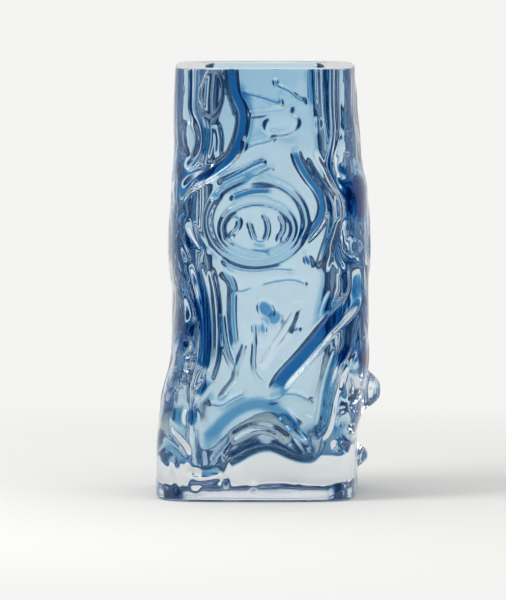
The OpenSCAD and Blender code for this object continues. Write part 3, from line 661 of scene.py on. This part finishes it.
def skin_rise(angle, v, rise):
    """The skin's rise with its waves, where no groove cuts through to the coloured glass."""
    deepest = (1 - GROOVE_KEEP_SHARE) * (wall_at(v) - colour_at(v))
    return np.maximum(rise + wave(angle, v), -deepest)


def skin_points(angle, z, inset):
    """Points of the skin at angles and heights, moved in by inset."""
    v = z / HEIGHT
    points, normals, _ = mould(angle, v, 0.0)
    out = skin_rise(angle, v, relief(points, normals, v)[:, 0]) - inset
    return np.column_stack([points + normals * out[:, None], z])


def bubble_points(angle, floor_share, wall_share, layer):
    """Points of the bubble's wall: layer 0 is the cavity, 1 the outside of the coloured glass."""
    low = BASE_THICK + (1 - layer) * COLOUR_FLOOR
    reach = np.sin(np.pi / 2 * floor_share) ** (2 / FLOOR_FLATNESS)
    lift = 1 - np.maximum(np.cos(np.pi / 2 * floor_share), 0) ** (2 / FLOOR_FLATNESS)
    corner = np.sin(2 * angle) ** 2 * CORNER_HANG_SHARE * reach ** 2
    dome = DOME_RISE * ((1 - reach * reach) ** 2 - corner) * (1 - lift)
    tilt = FLOOR_TILT * np.cos(angle) * reach
    z = mix(low + BUBBLE_ROUND * lift + dome + tilt, HEIGHT, wall_share)
    v = z / HEIGHT
    wall = wall_at(v)
    points, normals, halves = mould(angle, v, wall)
    # the casing magnifies the bubble, so its ribs are placed where they show through the folds
    shown = points * (SEEN_MIDDLE + SEEN_EDGE * (points / halves) ** 2)
    rise = relief(shown, normals, v)
    skin = skin_rise(angle, v, rise[:, 0])
    room = wall + skin
    cavity = FOLLOW_SHARE * skin + rise[:, 2]
    plain = colour_at(v) * mix(COLOUR_SIDE_SHARE, 1.0, normals[:, 1] ** 2)
    colour = np.maximum(COLOUR_KEEP_SHARE * plain, plain + rise[:, 1])
    colour = np.minimum(colour, COLOUR_FILL_SHARE * (room - cavity))
    on_floor = floor_share < 1
    out = (cavity + layer * colour) * np.where(on_floor, lift, 1.0)
    out += np.where(on_floor, layer * plain * (1 - lift), 0.0)
    flat = (points + normals * out[:, None]) * reach[:, None]
    return np.column_stack([flat, z])


SPIN_STEPS = 200
SKIN_ROWS = 184
FLOOR_ROWS = 20
WALL_ROWS = 72
BASE_SHARES = (0.25, 0.5, 0.75, 0.9)
FOOT_STEPS = 5
RIM_SHARES = (0.1, 0.5, 0.9)
ARRIS_STEP = 0.3
INNER_ARRIS = 0.0006
WELD = 1e-5
CLEAR_COLOUR = (0.99, 0.995, 0.997, 1.0)
CLEAR_TINT = (0.0, 0.2, 0.4, 1.0)
CLEAR_DENSITY = 1.8
GLASS_IOR = 1.5
RIPPLE_SCALE = 70.0
RIPPLE_RISE = 0.0008
RIPPLE_STRENGTH = 0.3
GRIND_SCALE = 900.0
RIM_ROUGH = 0.10
FOOT_ROUGH = 0.20

# The surfaces that a vertex can lie on. The seat is where the blue glass meets the clear
SURFACES = BASE, SKIN, RIM, CAVITY, SEAT = range(5)
TAGS = ("surface", "first", "second")


def spun(profile, name, material):
    """A closed body spun from a profile of (surface, first, second) tags. Spinning carries each tag
    round with its vertex, so that the body can be pressed into the mould afterwards. All surfaces
    but the cavity get twice the columns."""
    bm = bmesh.new()
    layers = [bm.verts.layers.float.new(key) for key in TAGS]
    made = []
    for i, tag in enumerate(profile):
        x = 0.0 if i in (0, len(profile) - 1) else 1.0
        vertex = bm.verts.new((x, 0.0, float(i)))
        for layer, value in zip(layers, tag):
            vertex[layer] = value
        made.append(vertex)
    edges = [bm.edges.new(pair) for pair in zip(made[:-1], made[1:])]
    bmesh.ops.spin(
        bm, geom=made + edges, cent=(0, 0, 0), axis=(0, 0, 1), dvec=(0, 0, 0),
        angle=2 * np.pi, steps=SPIN_STEPS, use_merge=True, use_duplicate=False,
    )
    bmesh.ops.remove_doubles(bm, verts=bm.verts, dist=WELD)
    surface = layers[0]
    round_edges = [
        edge for edge in bm.edges
        if abs(edge.verts[0].co.z - edge.verts[1].co.z) < 0.5
        and abs(edge.verts[0][surface] - CAVITY) > 0.5
    ]
    bmesh.ops.subdivide_edges(bm, edges=round_edges, cuts=1, use_grid_fill=False)
    bmesh.ops.recalc_face_normals(bm, faces=bm.faces)
    for face in bm.faces:
        face.smooth = True
    mesh = bpy.data.meshes.new(name)
    bm.to_mesh(mesh)
    bm.free()
    mesh.materials.append(material)
    piece = bpy.data.objects.new(name, mesh)
    bpy.context.collection.objects.link(piece)
    return piece


def read_tags(mesh):
    """The angle and the tags of every vertex of a spun body, with the columns crowded."""
    count = len(mesh.vertices)
    place = np.empty(count * 3)
    mesh.vertices.foreach_get("co", place)
    place = place.reshape(count, 3)
    turn = np.arctan2(place[:, 1], place[:, 0])
    tags = np.empty((3, count))
    for i, key in enumerate(TAGS):
        mesh.attributes[key].data.foreach_get("value", tags[i])
        mesh.attributes.remove(mesh.attributes[key])
    crowded = turn + CORNER_CROWD_SHARE / CORNERS * np.sin(CORNERS * turn)
    return crowded - FRONT_CROWD_SHARE * np.cos(turn), tags


def settle(mesh, points):
    """Moves the vertices of a spun body to their places."""
    mesh.vertices.foreach_set("co", points.ravel())
    mesh.update()


def placed(angle, tags):
    """Where each tagged vertex of a spun body lies in the vase."""
    points = np.zeros((len(angle), 3))
    surface, first, second = tags
    for kind in SURFACES:
        pick = np.flatnonzero(np.round(surface) == kind)
        if not len(pick):
            continue
        a, f, s = angle[pick], first[pick], second[pick]
        if kind == BASE:
            flat = skin_points(a, np.zeros(len(pick)), np.full(len(pick), FOOT_ROUND))
            points[pick] = flat * f[:, None]
        elif kind == SKIN:
            points[pick] = skin_points(a, f, s)
        elif kind == RIM:
            outer = skin_points(a, np.full(len(pick), HEIGHT), np.full(len(pick), RIM_ARRIS))
            inner = bubble_points(a, np.ones(len(pick)), np.ones(len(pick)), 0)
            outward = (outer - inner) / np.linalg.norm(outer - inner, axis=1)[:, None]
            points[pick] = mix(inner + outward * INNER_ARRIS, outer, 1 - f[:, None])
        else:
            points[pick] = bubble_points(a, f, s, 0 if kind == CAVITY else 1)
            if kind == CAVITY:
                # the ground rim's inner edge is softened too
                top = np.flatnonzero(s >= 1)
                points[pick[top], 2] -= INNER_ARRIS
    return points


foot_steps = np.linspace(0, np.pi / 2, FOOT_STEPS + 1)
row_shares = [((i + 1) / SKIN_ROWS) ** ROW_POWER for i in range(SKIN_ROWS)]
skin_levels = [(FOOT_ROUND * (1 - np.cos(t)), FOOT_ROUND * (1 - np.sin(t))) for t in foot_steps]
skin_levels += [(mix(FOOT_ROUND, HEIGHT - RIM_ARRIS, share), 0.0) for share in row_shares]
skin_levels += [(HEIGHT - RIM_ARRIS * ARRIS_STEP, RIM_ARRIS * ARRIS_STEP), (HEIGHT, RIM_ARRIS)]
floor_levels = [(i / FLOOR_ROWS, 0.0) for i in range(1, FLOOR_ROWS + 1)]
wall_levels = [(1.0, (i + 1) / WALL_ROWS) for i in range(WALL_ROWS)]

casing_profile = [(BASE, 0.0, 0.0)]
casing_profile += [(BASE, share, 0.0) for share in BASE_SHARES]
casing_profile += [(SKIN, z, inset) for z, inset in skin_levels]
casing_profile += [(RIM, share, 0.0) for share in RIM_SHARES]
casing_profile += [(CAVITY, f, s) for f, s in reversed(floor_levels + wall_levels)]
casing_profile += [(CAVITY, 0.0, 0.0)]

clear_glass = bpy.data.materials.new("clear_glass")
clear_glass.use_nodes = True
tree = clear_glass.node_tree
shader = tree.nodes["Principled BSDF"]
shader.inputs["Base Color"].default_value = CLEAR_COLOUR
shader.inputs["Roughness"].default_value = 0.0
shader.inputs["IOR"].default_value = GLASS_IOR
shader.inputs["Transmission Weight"].default_value = 1.0
tint = node(tree, "ShaderNodeVolumeAbsorption", values={"Color": CLEAR_TINT, "Density": CLEAR_DENSITY})
tree.links.new(tint.outputs[0], tree.nodes["Material Output"].inputs["Volume"])
spot = node(tree, "ShaderNodeTexCoord").outputs["Object"]
ripple = node(tree, "ShaderNodeTexNoise", values={"Scale": RIPPLE_SCALE, "Detail": 2.0, "Roughness": 0.5})
tree.links.new(spot, ripple.inputs["Vector"])
polish = node(tree, "ShaderNodeBump", values={"Strength": RIPPLE_STRENGTH, "Distance": RIPPLE_RISE})
tree.links.new(ripple.outputs["Fac"], polish.inputs["Height"])
tree.links.new(polish.outputs["Normal"], shader.inputs["Normal"])
# The rim is ground and polished, the underside only ground
grain = node(tree, "ShaderNodeTexNoise", values={"Scale": GRIND_SCALE, "Detail": 3.0, "Roughness": 0.6})
tree.links.new(spot, grain.inputs["Vector"])
level = node(tree, "ShaderNodeSeparateXYZ")
tree.links.new(spot, level.inputs[0])
top = ramp(tree, level.outputs["Z"], HEIGHT - 2 * RIM_ARRIS, HEIGHT - RIM_ARRIS / 2)
bottom = maths(tree, "SUBTRACT", 1.0, ramp(tree, level.outputs["Z"], 0.0, RIM_ARRIS / 2))
rim_ground = maths(tree, "MULTIPLY", top, RIM_ROUGH)
foot_ground = maths(tree, "MULTIPLY", bottom, FOOT_ROUGH)
ground = maths(tree, "MAXIMUM", rim_ground, foot_ground)
tree.links.new(maths(tree, "MULTIPLY", ground, grain.outputs["Fac"]), shader.inputs["Roughness"])

casing = spun(casing_profile, "clear_casing_glass", clear_glass)
angle, tags = read_tags(casing.data)
casing_points = placed(angle, tags)
skin_only = np.round(tags[0]) <= SKIN
low, high = casing_points[skin_only].min(axis=0), casing_points[skin_only].max(axis=0)
middle = np.array([(low[0] + high[0]) / 2, (low[1] + high[1]) / 2, 0.0])
settle(casing.data, casing_points - middle)
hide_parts("clear_casing")
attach(casing, "root")

# Blue lining. The bubble itself, blown from transparent blue glass before the clear glass went
# over it. It's fused to the casing all over, thin at the belly, thicker toward the rim, and drawn
# into thick ribs where the mould pressed the folds in.
BLUE_TINT = (0.0, 0.50, 0.76, 1.0)
BLUE_DENSITY = 300.0
SUNK = 0.00005
SEAT_ROWS = 130
LEAST_RADIUS = 1e-6

lining_profile = [(SEAT, 0.0, 0.0)]
lining_profile += [(SEAT, f, 0.0) for f, s in floor_levels]
lining_profile += [(SEAT, 1.0, (i + 1) / SEAT_ROWS) for i in range(SEAT_ROWS)]
lining_profile += [(CAVITY, f, s) for f, s in reversed(floor_levels + wall_levels)]
lining_profile += [(CAVITY, 0.0, 0.0)]

blue_glass = bpy.data.materials.new("blue_glass")
blue_glass.use_nodes = True
tree = blue_glass.node_tree
tree.nodes.clear()
# The casing bends the light where air meets glass, so the lining only colours it
absorb = node(tree, "ShaderNodeVolumeAbsorption", values={"Color": BLUE_TINT, "Density": BLUE_DENSITY})
tree.links.new(absorb.outputs[0], node(tree, "ShaderNodeOutputMaterial").inputs["Volume"])

lining = spun(lining_profile, "blue_lining_glass", blue_glass)
angle, tags = read_tags(lining.data)
points = placed(angle, tags)
# Its inner face lies a hair inside the cavity and its top a hair under the rim, so that no two
# faces share a plane
inside = np.round(tags[0]) == CAVITY
radius = np.maximum(np.linalg.norm(points[:, :2], axis=1), LEAST_RADIUS)
radial = points[:, :2] / radius[:, None]
on_floor = np.where(tags[1] < 1, 1.0, 0.0)
points[inside, :2] -= (radial * SUNK)[inside]
points[inside, 2] += (on_floor * SUNK)[inside]
points[:, 2] = np.minimum(points[:, 2], HEIGHT - INNER_ARRIS - SUNK)
settle(lining.data, points - middle)
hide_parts("blue_lining")
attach(lining, "root")

bpy.context.scene.view_settings.view_transform = "Standard"
